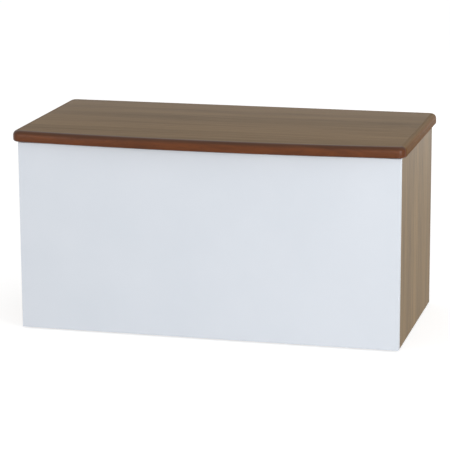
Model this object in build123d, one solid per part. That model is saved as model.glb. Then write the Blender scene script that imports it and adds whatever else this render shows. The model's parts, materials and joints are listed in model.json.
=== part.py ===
from build123d import *
import os
from collections import namedtuple

# Toy box of laminated board: five panels held by hidden knock-down fittings, a bow-fronted lid
# on a continuous hinge, and a damped folding stay at each end. Millimetres, +Z up, front
# towards -Y, origin on the floor under the middle of the whole box.

# Carcass boards
CARCASS_WIDTH = 870.0
CARCASS_DEPTH = 425.0
CARCASS_HEIGHT = 429.0
BOARD = 16.0
EDGE_TAPE = 1.0
BASE_RISE = 30.0  # from the panels' bottom edges up to the underside of the base

# Lid and its edge moulding
LID_THICKNESS = 25.0
LID_SIDE_OVERHANG = 12.0
LID_FRONT_OVERHANG = 12.0  # at the two ends of the bow
LID_BOW = 24.0
LID_CORNER_RADIUS = 18.0
LID_OPEN_ANGLE = 95.0
MOULDING_WIDTH = 12.0
MOULDING_TOP_RADIUS = 11.0
MOULDING_BOTTOM_RADIUS = 5.0
MOULDING_END_GAP = 0.3  # butt joint in the middle of the back edge
TONGUE_THICKNESS = 2.0
TONGUE_DEPTH = 5.0

# Clearances
FIT_GAP = 0.05  # pieces that are pressed, glued or screwed together
RUNNING_GAP = 0.08  # a pin that turns in a hole
DRILL_SLACK = 0.5  # a blind hole beyond the end of what is in it

# Cam locks, cam bolts and dowels
CAM_DIAMETER = 15.0
CAM_FLOOR = 3.3  # board left behind a cam pocket
CAM_EDGE_DISTANCE = 34.0
CAM_INSET = 72.0  # along a joint, from each end
CAM_SLOT_LENGTH = 9.0
CAM_SLOT_WIDTH = 1.8
CAM_SLOT_DEPTH = 2.0
BOLT_THREAD_DIAMETER = 5.0
BOLT_THREAD_LENGTH = 11.0
BOLT_SHANK_DIAMETER = 5.6
BOLT_HEAD_DIAMETER = 7.0
BOLT_HEAD_LENGTH = 5.0
BOLT_BORE_GAP = 0.3
DOWEL_DIAMETER = 8.0
DOWEL_LENGTH = 30.0
DOWEL_FACE_DEPTH = 11.0
DOWEL_INSET = 40.0
BASE_DOWEL_SPACING = 500.0

# Floor glides and lid bumpers
GLIDE_DIAMETER = 14.0
GLIDE_HEIGHT = 4.0
GLIDE_EDGE_RADIUS = 1.5
GLIDE_NAIL_DIAMETER = 3.0
GLIDE_NAIL_LENGTH = 14.0
GLIDE_INSET = 45.0
BUMPER_DIAMETER = 10.0
BUMPER_EDGE_RADIUS = 0.8
BUMPER_INSET = 40.0
BUMPER_LID_GAP = 0.1

# Continuous hinge
HINGE_LEAF = 1.0
HINGE_LEAF_GAP = 1.0  # between the closed leaves
HINGE_PIN_DIAMETER = 2.5
HINGE_BACK_GAP = 0.3  # from the knuckles to the back of the carcass
HINGE_LEAF_MARGIN = 1.0  # from the lower leaf's free edge to the board's inner face
HINGE_LEAF_EDGE = 5.0  # from the upper leaf's free edge to the line of its screws
HINGE_END_MARGIN = 16.0
HINGE_KNUCKLES = 33
KNUCKLE_END_GAP = 0.3
KNUCKLE_CLEARANCE = 0.3
HINGE_SCREWS = 9
HINGE_SCREW_HEAD = 4.8
HINGE_SCREW_SHANK = 2.5
HINGE_SCREW_LENGTH = 16.0  # those in the back panel; the lid's stop short of its groove
HINGE_SCREW_MARGIN = 0.8  # from the lid moulding to the lid screws' heads

# Lid stays: the four pivots are a parallelogram with the hinge axis at one corner
STAY_LID_REACH = 180.0
STAY_LID_DROP = 18.0
STAY_BODY_DROP = 150.0
STAY_BACK_GAP = 6.4  # from the housing to the back panel
STAY_SHEET = 3.0
STAY_SIDE_GAP = 0.3  # between neighbouring arms
CRANK_HUB_RADIUS = 12.0
CRANK_END_RADIUS = 9.0
LINK_RADIUS = 8.5
RIVET_DIAMETER = 6.0
RIVET_HEAD_DIAMETER = 11.0
RIVET_HEAD_HEIGHT = 1.5
BRACKET_LENGTH = 46.0
BRACKET_WIDTH = 26.0
BRACKET_EYE_RADIUS = 10.0
BRACKET_SCREW_SPACING = 28.0

# Damper inside each stay's housing
HOUSING_PLATE = 2.0
HOUSING_PLATE_LENGTH = 76.0
HOUSING_RADIUS = 20.0
HOUSING_DEPTH = 14.0
HOUSING_WALL = 2.0
HOUSING_SCREW_SPACING = 56.0
DRUM_STEP = 1.0  # the drum is this much smaller than the plate
CAP_THICKNESS = 2.0
CAP_LEDGE = 2.0
ROTOR_HUB_RADIUS = 7.0
ROTOR_SHAFT_RADIUS = 5.5
ROTOR_CLEARANCE = 0.3
ROTOR_HEAD_RADIUS = 7.5
VANE_ANGLE = 30.0
VANE_SLACK = 2.0  # degrees left at each stop

# Stay screws
STAY_SCREW_HEAD = 7.0
STAY_SCREW_HEAD_HEIGHT = 2.4
STAY_SCREW_SHANK = 3.5
STAY_SCREW_LENGTH = 12.0
SCREW_DOME_SHARE = 0.4  # of the head's height that is rounded

# Cross recesses in screw heads, as shares of the head's diameter
RECESS_LENGTH_SHARE = 0.55
RECESS_WIDTH_SHARE = 0.16
RECESS_DEPTH_SHARE = 0.18

# Places worked out from the sizes above
hinge_bore_radius = HINGE_PIN_DIAMETER / 2 + RUNNING_GAP
knuckle_radius = hinge_bore_radius + HINGE_LEAF
hinge_setback = knuckle_radius + HINGE_BACK_GAP
lid_gap = 2 * HINGE_LEAF + HINGE_LEAF_GAP

lid_width = CARCASS_WIDTH + 2 * LID_SIDE_OVERHANG
overall_depth = LID_BOW + LID_FRONT_OVERHANG + CARCASS_DEPTH + hinge_setback + knuckle_radius
lid_front_y = -overall_depth / 2
front_y = lid_front_y + LID_BOW + LID_FRONT_OVERHANG
back_y = front_y + CARCASS_DEPTH
front_inner_y = front_y + BOARD
back_inner_y = back_y - BOARD
middle_y = (front_y + back_y) / 2
outer_x = CARCASS_WIDTH / 2
inner_x = outer_x - BOARD

bottom_z = GLIDE_HEIGHT
top_z = bottom_z + CARCASS_HEIGHT
base_z = bottom_z + BASE_RISE
lid_z = top_z + lid_gap
lid_top_z = lid_z + LID_THICKNESS
hinge_y = back_y + hinge_setback
hinge_z = top_z + lid_gap / 2
hinge_length = 2 * (inner_x - HINGE_END_MARGIN)

SIDES = {"left": -1, "right": 1}
BELOW = (Align.CENTER, Align.CENTER, Align.MAX)
ABOVE = (Align.CENTER, Align.CENTER, Align.MIN)


# Small shapes used by many pieces

def block(x_ends, y_ends, z_ends):
    """A box between three pairs of coordinates."""
    ends = (x_ends, y_ends, z_ends)
    sizes = [abs(pair[1] - pair[0]) for pair in ends]
    middle = [(pair[0] + pair[1]) / 2 for pair in ends]
    return Pos(*middle) * Box(*sizes)


def rod(radius, start, end):
    """A cylinder along X."""
    return Pos((start + end) / 2, 0, 0) * Rot(0, 90, 0) * Cylinder(radius, abs(end - start))


def group(shapes):
    """Separate solids that share one node."""
    return Compound(children=[solid for shape in shapes for solid in shape.solids()])


def cross_recess(head):
    """The driver's cross, sunk into a screw head whose face is at z 0."""
    length = head * RECESS_LENGTH_SHARE
    width = head * RECESS_WIDTH_SHARE
    depth = head * RECESS_DEPTH_SHARE
    return [Box(length, width, depth, align=BELOW), Box(width, length, depth, align=BELOW)]


def hinge_screw(length, grow=0.0):
    """A countersunk screw along -Z with the face of its head at z 0, or the hole it needs."""
    head = HINGE_SCREW_HEAD / 2 + grow
    shank = HINGE_SCREW_SHANK / 2 + grow
    cone = Cone(shank, head, head - shank, align=BELOW)
    return cone + Cylinder(shank, length + grow, align=BELOW)


def stay_screw():
    """A pan-head screw along -Z that bears on the surface at z 0."""
    head = Cylinder(STAY_SCREW_HEAD / 2, STAY_SCREW_HEAD_HEIGHT, align=ABOVE)
    dome = STAY_SCREW_HEAD_HEIGHT * SCREW_DOME_SHARE
    head = fillet(head.edges().group_by(Axis.Z)[-1], dome)
    shank = Cylinder(STAY_SCREW_SHANK / 2, STAY_SCREW_LENGTH, align=BELOW)
    recess = [Pos(0, 0, STAY_SCREW_HEAD_HEIGHT) * bar for bar in cross_recess(STAY_SCREW_HEAD)]
    return head + shank - recess


def stay_screw_hole():
    """The hole for a pan-head screw."""
    length = STAY_SCREW_LENGTH + DRILL_SLACK
    return Cylinder(STAY_SCREW_SHANK / 2 + FIT_GAP, length, align=BELOW)


# Hidden joints between the panels. In a joint's own frame the boards meet at x 0, the board
# drilled in its edge lies towards +X, and the cam's open face looks along +Z.

PanelJoint = namedtuple("PanelJoint", "face_board edge_board bolts dowels")


def joint_frame(origin, into_edge, cam_face):
    return Plane(origin=origin, x_dir=into_edge, z_dir=cam_face).location


def panel_joints():
    """Every pair of boards that meets, with the frames of its bolts and dowels."""
    joints = []
    base_middle_z = base_z + BOARD / 2

    def heights(inset):
        return (bottom_z + inset, top_z - inset)

    def depths(inset):
        return (front_inner_y + inset, back_inner_y - inset)

    for name, side in SIDES.items():
        panel = f"{name}_side_panel"
        inwards = (-side, 0, 0)

        def front_corner(z):
            return joint_frame((side * (outer_x - BOARD / 2), front_inner_y, z), (0, 1, 0), inwards)

        def back_corner(z):
            return joint_frame((side * inner_x, back_y - BOARD / 2, z), inwards, (0, 1, 0))

        def base_end(y):
            return joint_frame((side * inner_x, y, base_middle_z), inwards, (0, 0, -1))

        for face_board, edge_board, frame, places in (
            ("front_panel", panel, front_corner, heights),
            (panel, "back_panel", back_corner, heights),
            (panel, "base_panel", base_end, depths),
        ):
            bolts = [frame(place) for place in places(CAM_INSET)]
            dowels = [frame(place) for place in places(DOWEL_INSET)]
            joints.append(PanelJoint(face_board, edge_board, bolts, dowels))

    for face_board, y, into_edge in (
        ("front_panel", front_inner_y, (0, 1, 0)),
        ("back_panel", back_inner_y, (0, -1, 0)),
    ):
        dowels = [
            joint_frame((side * BASE_DOWEL_SPACING / 2, y, base_middle_z), into_edge, (0, 0, -1))
            for side in SIDES.values()
        ]
        joints.append(PanelJoint(face_board, "base_panel", [], dowels))
    return joints


def cam_depth():
    return BOARD - CAM_FLOOR


def cam_lock():
    """A cam in its joint's frame, hollowed on the side where the bolt's head goes in."""
    radius = CAM_DIAMETER / 2 - FIT_GAP
    body = Cylinder(radius, cam_depth() - FIT_GAP, align=BELOW)
    slot = [
        Box(CAM_SLOT_LENGTH, CAM_SLOT_WIDTH, CAM_SLOT_DEPTH, align=BELOW),
        Box(CAM_SLOT_WIDTH, CAM_SLOT_LENGTH, CAM_SLOT_DEPTH, align=BELOW),
    ]
    throat = rod(BOLT_HEAD_DIAMETER / 2 + BOLT_BORE_GAP, -CAM_DIAMETER, BOLT_HEAD_LENGTH)
    cam = body - slot - Pos(0, 0, -BOARD / 2) * throat
    return Pos(CAM_EDGE_DISTANCE, 0, BOARD / 2) * cam


def cam_bolt():
    head_start = CAM_EDGE_DISTANCE - BOLT_HEAD_LENGTH / 2
    thread = rod(BOLT_THREAD_DIAMETER / 2, -BOLT_THREAD_LENGTH, 0)
    shank = rod(BOLT_SHANK_DIAMETER / 2, 0, head_start)
    head = rod(BOLT_HEAD_DIAMETER / 2, head_start, head_start + BOLT_HEAD_LENGTH)
    return thread + shank + head


def dowel():
    return rod(DOWEL_DIAMETER / 2, -DOWEL_FACE_DEPTH, DOWEL_LENGTH - DOWEL_FACE_DEPTH)


def joint_holes():
    """What each panel loses to its joints: node name to a list of cutting shapes."""
    bolt_face_hole = rod(BOLT_THREAD_DIAMETER / 2 + FIT_GAP, -BOLT_THREAD_LENGTH - DRILL_SLACK, 0)
    bolt_bore = rod(BOLT_HEAD_DIAMETER / 2 + BOLT_BORE_GAP, 0, CAM_EDGE_DISTANCE)
    pocket = Pos(CAM_EDGE_DISTANCE, 0, BOARD / 2) * Cylinder(CAM_DIAMETER / 2, cam_depth(), align=BELOW)
    dowel_radius = DOWEL_DIAMETER / 2 + FIT_GAP
    dowel_face_hole = rod(dowel_radius, -DOWEL_FACE_DEPTH - DRILL_SLACK, 0)
    dowel_edge_hole = rod(dowel_radius, 0, DOWEL_LENGTH - DOWEL_FACE_DEPTH + DRILL_SLACK)
    holes = {}
    for joint in panel_joints():
        in_face = holes.setdefault(joint.face_board, [])
        in_edge = holes.setdefault(joint.edge_board, [])
        for frame in joint.bolts:
            in_face.append(frame * bolt_face_hole)
            in_edge.append(frame * bolt_bore)
            in_edge.append(frame * pocket)
        for frame in joint.dowels:
            in_face.append(frame * dowel_face_hole)
            in_edge.append(frame * dowel_edge_hole)
    return holes


# Floor glides and lid bumpers

def glide_places():
    """Two under each end panel, which carry the box."""
    end_x = outer_x - BOARD / 2
    end_ys = (front_inner_y + GLIDE_INSET, back_y - GLIDE_INSET)
    return [(side * end_x, y) for side in SIDES.values() for y in end_ys]


def glide():
    disc = Cylinder(GLIDE_DIAMETER / 2, GLIDE_HEIGHT, align=BELOW)
    disc = fillet(disc.edges().group_by(Axis.Z)[0], GLIDE_EDGE_RADIUS)
    return disc + Cylinder(GLIDE_NAIL_DIAMETER / 2, GLIDE_NAIL_LENGTH, align=ABOVE)


def glide_nail_holes():
    length = GLIDE_NAIL_LENGTH + DRILL_SLACK
    hole = Cylinder(GLIDE_NAIL_DIAMETER / 2 + FIT_GAP, length, align=ABOVE)
    return [Pos(x, y, bottom_z) * hole for x, y in glide_places()]


def bumpers():
    bumper = Cylinder(BUMPER_DIAMETER / 2, lid_gap - BUMPER_LID_GAP, align=ABOVE)
    bumper = fillet(bumper.edges().group_by(Axis.Z)[-1], BUMPER_EDGE_RADIUS)
    places = []
    for side in SIDES.values():
        places.append((side * (outer_x - BUMPER_INSET), front_y + BOARD / 2))
        places.append((side * (outer_x - BOARD / 2), middle_y))
    return [Pos(x, y, top_z) * bumper for x, y in places]


# Lid

def lid_outline(inset):
    """The lid's plan, drawn in from its outer edge by an inset."""
    half = lid_width / 2
    bow_end_y = lid_front_y + LID_BOW
    bow = ThreePointArc((-half, bow_end_y), (0, lid_front_y), (half, bow_end_y))
    rest = Polyline((half, bow_end_y), (half, back_y), (-half, back_y), (-half, bow_end_y))
    plan = make_face(bow.edges() + rest.edges())
    plan = fillet(plan.vertices(), LID_CORNER_RADIUS)
    if inset == 0:
        return plan
    return offset(plan, -inset)


def lid_slab(inset, z_ends):
    return Pos(0, 0, z_ends[0]) * extrude(lid_outline(inset), z_ends[1] - z_ends[0])


def tongue_levels(gap):
    middle = lid_z + LID_THICKNESS / 2
    half = TONGUE_THICKNESS / 2 + gap
    return (middle - half, middle + half)


def lid_board():
    """The lid's core, grooved all round for the moulding's tongue and drilled for screws."""
    seat = MOULDING_WIDTH + FIT_GAP
    core = lid_slab(seat, (lid_z, lid_top_z))
    groove = lid_slab(0, tongue_levels(FIT_GAP)) - lid_slab(seat + TONGUE_DEPTH, tongue_levels(FIT_GAP))
    holes = [place * hinge_screw(lid_screw_length(), FIT_GAP) for place in lid_screw_places()]
    for side in SIDES.values():
        holes += [place * stay_screw_hole() for place in bracket_screw_places(side)]
    return core - groove - holes


def lid_edge_moulding():
    """A rounded strip bent round the lid, with a tongue in the lid's groove."""
    strip = lid_slab(0, (lid_z, lid_top_z))
    strip = fillet(strip.edges().group_by(Axis.Z)[-1], MOULDING_TOP_RADIUS)
    strip = fillet(strip.edges().group_by(Axis.Z)[0], MOULDING_BOTTOM_RADIUS)
    strip = strip - lid_slab(MOULDING_WIDTH, (lid_z, lid_top_z))
    tongue_root = MOULDING_WIDTH / 2
    tongue = lid_slab(tongue_root, tongue_levels(0)) - lid_slab(
        MOULDING_WIDTH + TONGUE_DEPTH - FIT_GAP, tongue_levels(0)
    )
    half_gap = MOULDING_END_GAP / 2
    butt_joint = block((-half_gap, half_gap), (middle_y, back_y + LID_CORNER_RADIUS), (lid_z, lid_top_z))
    return strip + tongue - butt_joint


# Continuous hinge

def screw_line_x():
    step = hinge_length / HINGE_SCREWS
    return [step * (index + 0.5) - hinge_length / 2 for index in range(HINGE_SCREWS)]


def carcass_screw_places():
    head_z = hinge_z - HINGE_LEAF_GAP / 2
    return [Pos(x, back_y - BOARD / 2, head_z) for x in screw_line_x()]


def lid_screw_y():
    """The lid's screws go into its board, clear of the moulding."""
    return back_y - MOULDING_WIDTH - HINGE_SCREW_MARGIN - HINGE_SCREW_HEAD / 2


def lid_screw_places():
    head_z = hinge_z + HINGE_LEAF_GAP / 2
    return [Pos(x, lid_screw_y(), head_z) * Rot(180, 0, 0) for x in screw_line_x()]


def lid_screw_length():
    return tongue_levels(FIT_GAP)[0] - DRILL_SLACK - hinge_z - HINGE_LEAF_GAP / 2


def hinge_screws(places, length):
    screw = hinge_screw(length) - cross_recess(HINGE_SCREW_HEAD)
    return [place * screw for place in places]


def hinge_leaf(side, free_edge_y, first_knuckle, screw_places):
    """One leaf: side is -1 for the carcass and 1 for the lid, below or above the pin."""
    near = hinge_z + side * HINGE_LEAF_GAP / 2
    far = near + side * HINGE_LEAF
    half = hinge_length / 2
    pitch = hinge_length / HINGE_KNUCKLES
    axis = Pos(0, hinge_y, hinge_z)
    half_end_gap = KNUCKLE_END_GAP / 2
    knuckles = []
    notches = []
    for index in range(HINGE_KNUCKLES):
        start = index * pitch - half
        end = start + pitch
        if index % 2 == first_knuckle:
            knuckle = rod(knuckle_radius, start + half_end_gap, end - half_end_gap)
            knuckles.append(axis * knuckle)
        else:
            clear_radius = knuckle_radius + KNUCKLE_CLEARANCE
            notch = rod(clear_radius, start - half_end_gap, end + half_end_gap)
            notches.append(axis * notch)
    leaf = block((-half, half), (free_edge_y, hinge_y), sorted((near, far)))
    leaf = leaf - notches + knuckles - axis * rod(hinge_bore_radius, -half, half)
    return leaf - [place * hinge_screw(HINGE_SCREW_LENGTH, FIT_GAP) for place in screw_places]


def hinge_pin():
    return Pos(0, hinge_y, hinge_z) * rod(HINGE_PIN_DIAMETER / 2, -hinge_length / 2, hinge_length / 2)


# Lid stays. Each is drawn in the Y-Z plane and given its thickness inwards from the end panel.

crank_near = HOUSING_DEPTH + STAY_SIDE_GAP
crank_far = crank_near + STAY_SHEET
link_near = crank_far + STAY_SIDE_GAP
link_far = link_near + STAY_SHEET
rivet_far = link_far + STAY_SIDE_GAP
chamber_radius = HOUSING_RADIUS - DRUM_STEP - HOUSING_WALL - CAP_LEDGE
chamber_floor = HOUSING_PLATE + HOUSING_WALL / 2
cap_near = HOUSING_DEPTH - CAP_THICKNESS
vane_rest_angle = 90 + LID_OPEN_ANGLE / 2
stay_body_reach = hinge_setback + BOARD + STAY_BACK_GAP + HOUSING_RADIUS


def stay_point(forward, up):
    """A point in the Y-Z plane, measured from the hinge axis."""
    return (hinge_y - forward, hinge_z + up)


body_pivot = stay_point(stay_body_reach, -STAY_BODY_DROP)
lid_pivot = stay_point(STAY_LID_REACH, -STAY_LID_DROP)
elbow = stay_point(stay_body_reach + STAY_LID_REACH, -STAY_BODY_DROP - STAY_LID_DROP)


def inwards(sketch, side, near, far):
    """A sketch in the Y-Z plane, made solid between two distances in from an end panel."""
    start = min(side * (inner_x - near), side * (inner_x - far))
    return Pos(start, 0, 0) * extrude(Plane.YZ * sketch, far - near)


def disc(point, radius):
    return Pos(*point) * Circle(radius)


def strap(point_a, radius_a, point_b, radius_b):
    """A flat arm with round ends."""
    return make_hull(disc(point_a, radius_a).edges() + disc(point_b, radius_b).edges())


def sector(point, radius, middle_angle, size):
    """A slice of a disc, about a middle direction."""
    arc = CenterArc(point, radius, middle_angle - size / 2, size)
    return make_face(arc.edges() + Polyline(arc @ 1, point, arc @ 0).edges())


def housing_screw_places(side):
    inward = (-side, 0, 0)
    x = side * (inner_x - HOUSING_PLATE)
    y, z = body_pivot
    levels = (z - HOUSING_SCREW_SPACING / 2, z + HOUSING_SCREW_SPACING / 2)
    return [Plane(origin=(x, y, level), x_dir=(0, 1, 0), z_dir=inward).location for level in levels]


def bracket_screw_places(side):
    x = side * (inner_x - crank_far - (BRACKET_WIDTH - STAY_SHEET) / 2 - STAY_SHEET)
    y = lid_pivot[0]
    ends = (y - BRACKET_SCREW_SPACING / 2, y + BRACKET_SCREW_SPACING / 2)
    return [Pos(x, end, lid_z - STAY_SHEET) * Rot(180, 0, 0) for end in ends]


def stay_housing(side):
    """The damper's cup on its screw plate, with the chamber in which the vane swings."""
    plate_plan = Pos(*body_pivot) * Rot(0, 0, 90) * SlotOverall(HOUSING_PLATE_LENGTH, 2 * HOUSING_RADIUS)
    plate = inwards(plate_plan, side, 0, HOUSING_PLATE)
    drum = inwards(disc(body_pivot, HOUSING_RADIUS - DRUM_STEP), side, HOUSING_PLATE, HOUSING_DEPTH)
    travel = LID_OPEN_ANGLE + VANE_ANGLE + 2 * VANE_SLACK
    chamber = [
        inwards(disc(body_pivot, ROTOR_HUB_RADIUS + ROTOR_CLEARANCE), side, chamber_floor, cap_near),
        inwards(sector(body_pivot, chamber_radius, 90, travel), side, chamber_floor, cap_near),
        inwards(disc(body_pivot, chamber_radius + CAP_LEDGE), side, cap_near, HOUSING_DEPTH),
    ]
    holes = [place * stay_screw_hole() for place in housing_screw_places(side)]
    return plate + drum - chamber - holes


def stay_cap(side):
    plan = disc(body_pivot, chamber_radius + CAP_LEDGE - FIT_GAP)
    plan = plan - disc(body_pivot, ROTOR_SHAFT_RADIUS + RUNNING_GAP)
    return inwards(plan, side, cap_near, HOUSING_DEPTH)


def tenon_side():
    return ROTOR_SHAFT_RADIUS * 2 ** 0.5


def stay_rotor(side):
    """Hub and vane in the chamber, a shaft through the cap, and a square that drives the crank."""
    low = chamber_floor + ROTOR_CLEARANCE
    high = cap_near - ROTOR_CLEARANCE
    vane_plan = sector(body_pivot, chamber_radius - ROTOR_CLEARANCE, vane_rest_angle, VANE_ANGLE)
    hub = inwards(disc(body_pivot, ROTOR_HUB_RADIUS), side, low, high)
    vane = inwards(vane_plan, side, low, high)
    shaft = inwards(disc(body_pivot, ROTOR_SHAFT_RADIUS), side, high, crank_near)
    tenon = inwards(Pos(*body_pivot) * Rectangle(tenon_side(), tenon_side()), side, crank_near, crank_far)
    head = inwards(disc(body_pivot, ROTOR_HEAD_RADIUS), side, crank_far, crank_far + RIVET_HEAD_HEIGHT)
    return hub + vane + shaft + tenon + head


def stay_crank(side):
    socket = tenon_side() + 2 * FIT_GAP
    plan = strap(body_pivot, CRANK_HUB_RADIUS, elbow, CRANK_END_RADIUS)
    plan = plan - Pos(*body_pivot) * Rectangle(socket, socket)
    plan = plan - disc(elbow, RIVET_DIAMETER / 2 + FIT_GAP)
    return inwards(plan, side, crank_near, crank_far)


def stay_link(side):
    plan = strap(lid_pivot, LINK_RADIUS, elbow, LINK_RADIUS)
    for pivot in (lid_pivot, elbow):
        plan = plan - disc(pivot, RIVET_DIAMETER / 2 + RUNNING_GAP)
    return inwards(plan, side, link_near, link_far)


def stay_rivet(side, pivot):
    """A rivet through two arms, headed at both ends."""
    shank = inwards(disc(pivot, RIVET_DIAMETER / 2), side, crank_near, rivet_far)
    head_plan = disc(pivot, RIVET_HEAD_DIAMETER / 2)
    outer_head = inwards(head_plan, side, crank_near - RIVET_HEAD_HEIGHT, crank_near)
    inner_head = inwards(head_plan, side, rivet_far, rivet_far + RIVET_HEAD_HEIGHT)
    return shank + outer_head + inner_head


def stay_lid_bracket(side):
    """An angle under the lid: a screwed plate and an eye for the link's pin."""
    y = lid_pivot[0]
    y_ends = (y - BRACKET_LENGTH / 2, y + BRACKET_LENGTH / 2)
    z_ends = (lid_z - STAY_SHEET, lid_z)
    x_ends = (side * (inner_x - crank_near), side * (inner_x - crank_near - BRACKET_WIDTH))
    plate = block(x_ends, y_ends, z_ends)
    fold = Pos(y, lid_z - STAY_SHEET / 2) * Rectangle(BRACKET_LENGTH, STAY_SHEET)
    eye_plan = make_hull(fold.edges() + disc(lid_pivot, BRACKET_EYE_RADIUS).edges())
    eye_plan = eye_plan - disc(lid_pivot, RIVET_DIAMETER / 2 + FIT_GAP)
    eye = inwards(eye_plan, side, crank_near, crank_far)
    return plate + eye - [place * stay_screw_hole() for place in bracket_screw_places(side)]


# Panels and edge tapes

def panels():
    """The five boards before drilling, each short of its taped edges."""
    inside = (-inner_x, inner_x)
    taped_z = (bottom_z + EDGE_TAPE, top_z - EDGE_TAPE)
    boards = {
        "front_panel": block((-outer_x + EDGE_TAPE, outer_x - EDGE_TAPE), (front_y, front_inner_y), taped_z),
        "back_panel": block(inside, (back_inner_y, back_y), taped_z),
        "base_panel": block(inside, (front_inner_y, back_inner_y), (base_z, base_z + BOARD)),
    }
    for name, side in SIDES.items():
        x_ends = (side * inner_x, side * outer_x)
        boards[f"{name}_side_panel"] = block(x_ends, (front_inner_y, back_y - EDGE_TAPE), taped_z)
    return boards


def edge_tapes():
    """Strips glued on the panels' cut edges, named after their panels."""
    bottom = (bottom_z, bottom_z + EDGE_TAPE)
    top = (top_z - EDGE_TAPE, top_z)
    between = (bottom[1], top[0])
    front_ys = (front_y, front_inner_y)
    short_xs = (-outer_x + EDGE_TAPE, outer_x - EDGE_TAPE)
    tapes = {
        "front_panel": [block(short_xs, front_ys, bottom), block(short_xs, front_ys, top)],
        "back_panel": [
            block((-inner_x, inner_x), (back_inner_y, back_y), bottom),
            block((-inner_x, inner_x), (back_inner_y, back_y), top),
        ],
    }
    for name, side in SIDES.items():
        edge_xs = (side * (outer_x - EDGE_TAPE), side * outer_x)
        tapes["front_panel"].append(block(edge_xs, front_ys, (bottom_z, top_z)))
        board_xs = (side * inner_x, side * outer_x)
        side_ys = (front_inner_y, back_y)
        tapes[f"{name}_side_panel"] = [
            block(board_xs, side_ys, bottom),
            block(board_xs, side_ys, top),
            block(board_xs, (back_y - EDGE_TAPE, back_y), between),
        ]
    return tapes


def surface_holes():
    """Holes that go in through a panel's tape or face: hinge screws, glide nails, housing screws."""
    holes = glide_nail_holes()
    holes += [place * hinge_screw(HINGE_SCREW_LENGTH, FIT_GAP) for place in carcass_screw_places()]
    for side in SIDES.values():
        holes += [place * stay_screw_hole() for place in housing_screw_places(side)]
    return holes


def touching(shape, holes):
    """Those holes whose boxes meet the shape's box."""
    box = shape.bounding_box()
    return [hole for hole in holes if box.overlaps(hole.bounding_box())]


# All the nodes

def carcass_nodes():
    nodes = {}
    drilled = joint_holes()
    surface = surface_holes()
    for name, board in panels().items():
        nodes[name] = board - (drilled[name] + touching(board, surface))
    for name, strips in edge_tapes().items():
        cut_strips = []
        for strip in strips:
            holes = touching(strip, surface)
            cut_strips.append(strip - holes if holes else strip)
        nodes[f"{name}_edge_tape"] = group(cut_strips)
    joints = panel_joints()
    nodes["cam_locks"] = group([frame * cam_lock() for joint in joints for frame in joint.bolts])
    nodes["cam_bolts"] = group([frame * cam_bolt() for joint in joints for frame in joint.bolts])
    nodes["wood_dowels"] = group([frame * dowel() for joint in joints for frame in joint.dowels])
    nodes["floor_glides"] = group([Pos(x, y, bottom_z) * glide() for x, y in glide_places()])
    nodes["lid_bumpers"] = group(bumpers())
    return nodes


def lid_nodes():
    return {
        "lid_board": lid_board(),
        "lid_edge_moulding": lid_edge_moulding(),
    }


def hinge_nodes():
    return {
        "hinge_carcass_leaf": hinge_leaf(-1, back_inner_y + HINGE_LEAF_MARGIN, 0, carcass_screw_places()),
        "hinge_lid_leaf": hinge_leaf(1, lid_screw_y() - HINGE_LEAF_EDGE, 1, lid_screw_places()),
        "hinge_pin": hinge_pin(),
        "hinge_carcass_screws": group(hinge_screws(carcass_screw_places(), HINGE_SCREW_LENGTH)),
        "hinge_lid_screws": group(hinge_screws(lid_screw_places(), lid_screw_length())),
    }


def stay_nodes():
    nodes = {}
    housing_screws = []
    bracket_screws = []
    for name, side in SIDES.items():
        nodes[f"stay_housing_{name}"] = stay_housing(side)
        nodes[f"stay_cap_{name}"] = stay_cap(side)
        nodes[f"stay_rotor_{name}"] = stay_rotor(side)
        nodes[f"stay_crank_{name}"] = stay_crank(side)
        nodes[f"stay_elbow_rivet_{name}"] = stay_rivet(side, elbow)
        nodes[f"stay_link_{name}"] = stay_link(side)
        nodes[f"stay_lid_bracket_{name}"] = stay_lid_bracket(side)
        nodes[f"stay_lid_rivet_{name}"] = stay_rivet(side, lid_pivot)
        housing_screws += [place * stay_screw() for place in housing_screw_places(side)]
        bracket_screws += [place * stay_screw() for place in bracket_screw_places(side)]
    nodes["stay_housing_screws"] = group(housing_screws)
    nodes["stay_bracket_screws"] = group(bracket_screws)
    return nodes


os.makedirs("parts", exist_ok=True)
for nodes in (carcass_nodes(), lid_nodes(), hinge_nodes(), stay_nodes()):
    for node_name, shape in nodes.items():
        export_step(shape, f"parts/{node_name}.step")
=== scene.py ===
import json
from collections import namedtuple
from math import asin, cos, pi, radians, sin

import bmesh
import bpy
from mathutils import Matrix, Vector


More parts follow.
